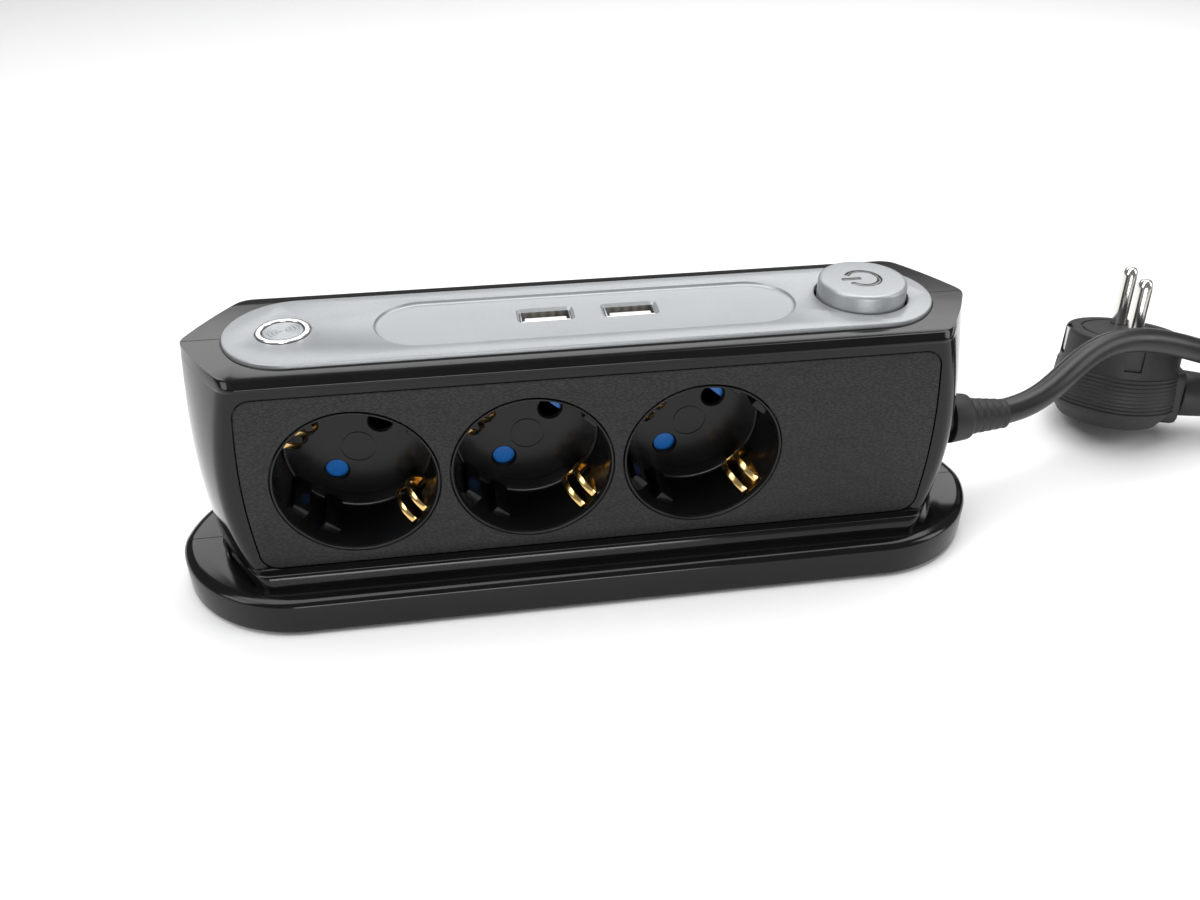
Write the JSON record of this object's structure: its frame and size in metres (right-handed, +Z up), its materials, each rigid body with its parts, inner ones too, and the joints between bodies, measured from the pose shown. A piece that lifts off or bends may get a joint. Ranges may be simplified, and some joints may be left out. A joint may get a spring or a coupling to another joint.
{
  "type": "desk power strip",
  "caption": "Free-standing desk power strip with recessed earthed sockets on its front face, USB ports and a round push switch in its top plate, and a moulded mains lead.",
  "frame": {"origin": "on the desk under the middle of the housing", "axes": "+X along the housing towards the lead, +Y away from the socket face, +Z up"},
  "size_m": [0.4613, 0.1019, 0.0767],
  "materials": {
    "housing": "glossy black moulding",
    "base": "fine matt black moulding",
    "feet": "soft grey-black rubber",
    "screws": "zinc-plated steel",
    "panel": "fine leather-like grain, matt charcoal",
    "plate": "satin silver with a fine speckle",
    "button": "satin silver",
    "bright": "polished chrome",
    "cup": "glossy black moulding",
    "shutter": "blue moulding",
    "inner_plastic": "natural ivory moulding",
    "clip": "bright brass strip",
    "steel": "bright spring steel",
    "tongue": "pale moulding",
    "board": "green laminate",
    "transformer": "taped winding",
    "capacitor": "sleeved can",
    "cord": "satin black sheath",
    "plug": "matt black moulding",
    "relief": "matt black rubber",
    "pins": "nickel plate",
    "earth_strip": "bright steel"
  },
  "bodies": {
    "housing": {"front_shell": "housing", "rear_shell": "housing", "bottom_cover": "base", "foot_1": "feet", "foot_2": "feet", "foot_3": "feet", "foot_4": "feet", "housing_screw_1": "screws", "housing_screw_2": "screws", "housing_screw_3": "screws", "housing_screw_4": "screws", "cover_screw_1": "screws", "cover_screw_2": "screws", "cover_screw_3": "screws", "cover_screw_4": "screws", "front_panel": "panel", "rear_panel": "panel", "top_plate": "plate", "badge_disc": "plate", "badge_ring": "bright", "socket_cup_1": "cup", "socket_cup_2": "cup", "socket_cup_3": "cup", "socket_retainer_1": "inner_plastic", "socket_retainer_2": "inner_plastic", "socket_retainer_3": "inner_plastic", "switch_body": "inner_plastic", "earth_clip_1": "clip", "earth_clip_2": "clip", "earth_clip_3": "clip", "live_rail": "clip", "neutral_rail": "clip", "earth_rail": "clip", "button_spring": "steel", "usb_shell_1": "steel", "usb_shell_2": "steel", "usb_tongue_1": "tongue", "usb_tongue_2": "tongue", "usb_board": "board", "usb_transformer": "transformer", "usb_capacitor": "capacitor", "supply_cord": "cord", "cord_plug_end": "cord", "cord_coil": "cord", "plug_body": "plug", "strain_relief": "relief", "plug_tail": "relief", "plug_pin_1": "pins", "plug_pin_2": "pins", "plug_earth_contact_1": "earth_strip", "plug_earth_contact_2": "earth_strip"},
    "power_button": {"button_cap": "button", "button_symbol_ring": "bright", "button_symbol_bar": "bright", "button_plunger": "inner_plastic"},
    "shutter_1": {"shutter_1": "shutter"},
    "shutter_2": {"shutter_2": "shutter"},
    "shutter_3": {"shutter_3": "shutter"}
  },
  "joints": [
    {"name": "power_button_press", "type": "slide", "parent": "housing", "child": "power_button", "axis": [0, 0, 1], "range_m": [-0.003, 0], "stiffness_N_per_m": 300, "springref_m": 0.004, "deforming": ["button_spring"]},
    {"name": "shutter_1_turn", "type": "hinge", "parent": "housing", "child": "shutter_1", "pos_m": [-0.0614, -0.002, 0.0399], "axis": [0, 1, 0], "range_deg": [0, 40], "stiffness_Nm_per_rad": 0.002, "springref_deg": -11.46},
    {"name": "shutter_2_turn", "type": "hinge", "parent": "housing", "child": "shutter_2", "pos_m": [-0.0174, -0.002, 0.0399], "axis": [0, 1, 0], "range_deg": [0, 40], "stiffness_Nm_per_rad": 0.002, "springref_deg": -11.46},
    {"name": "shutter_3_turn", "type": "hinge", "parent": "housing", "child": "shutter_3", "pos_m": [0.0266, -0.002, 0.0399], "axis": [0, 1, 0], "range_deg": [0, 40], "stiffness_Nm_per_rad": 0.002, "springref_deg": -11.46}
  ]
}
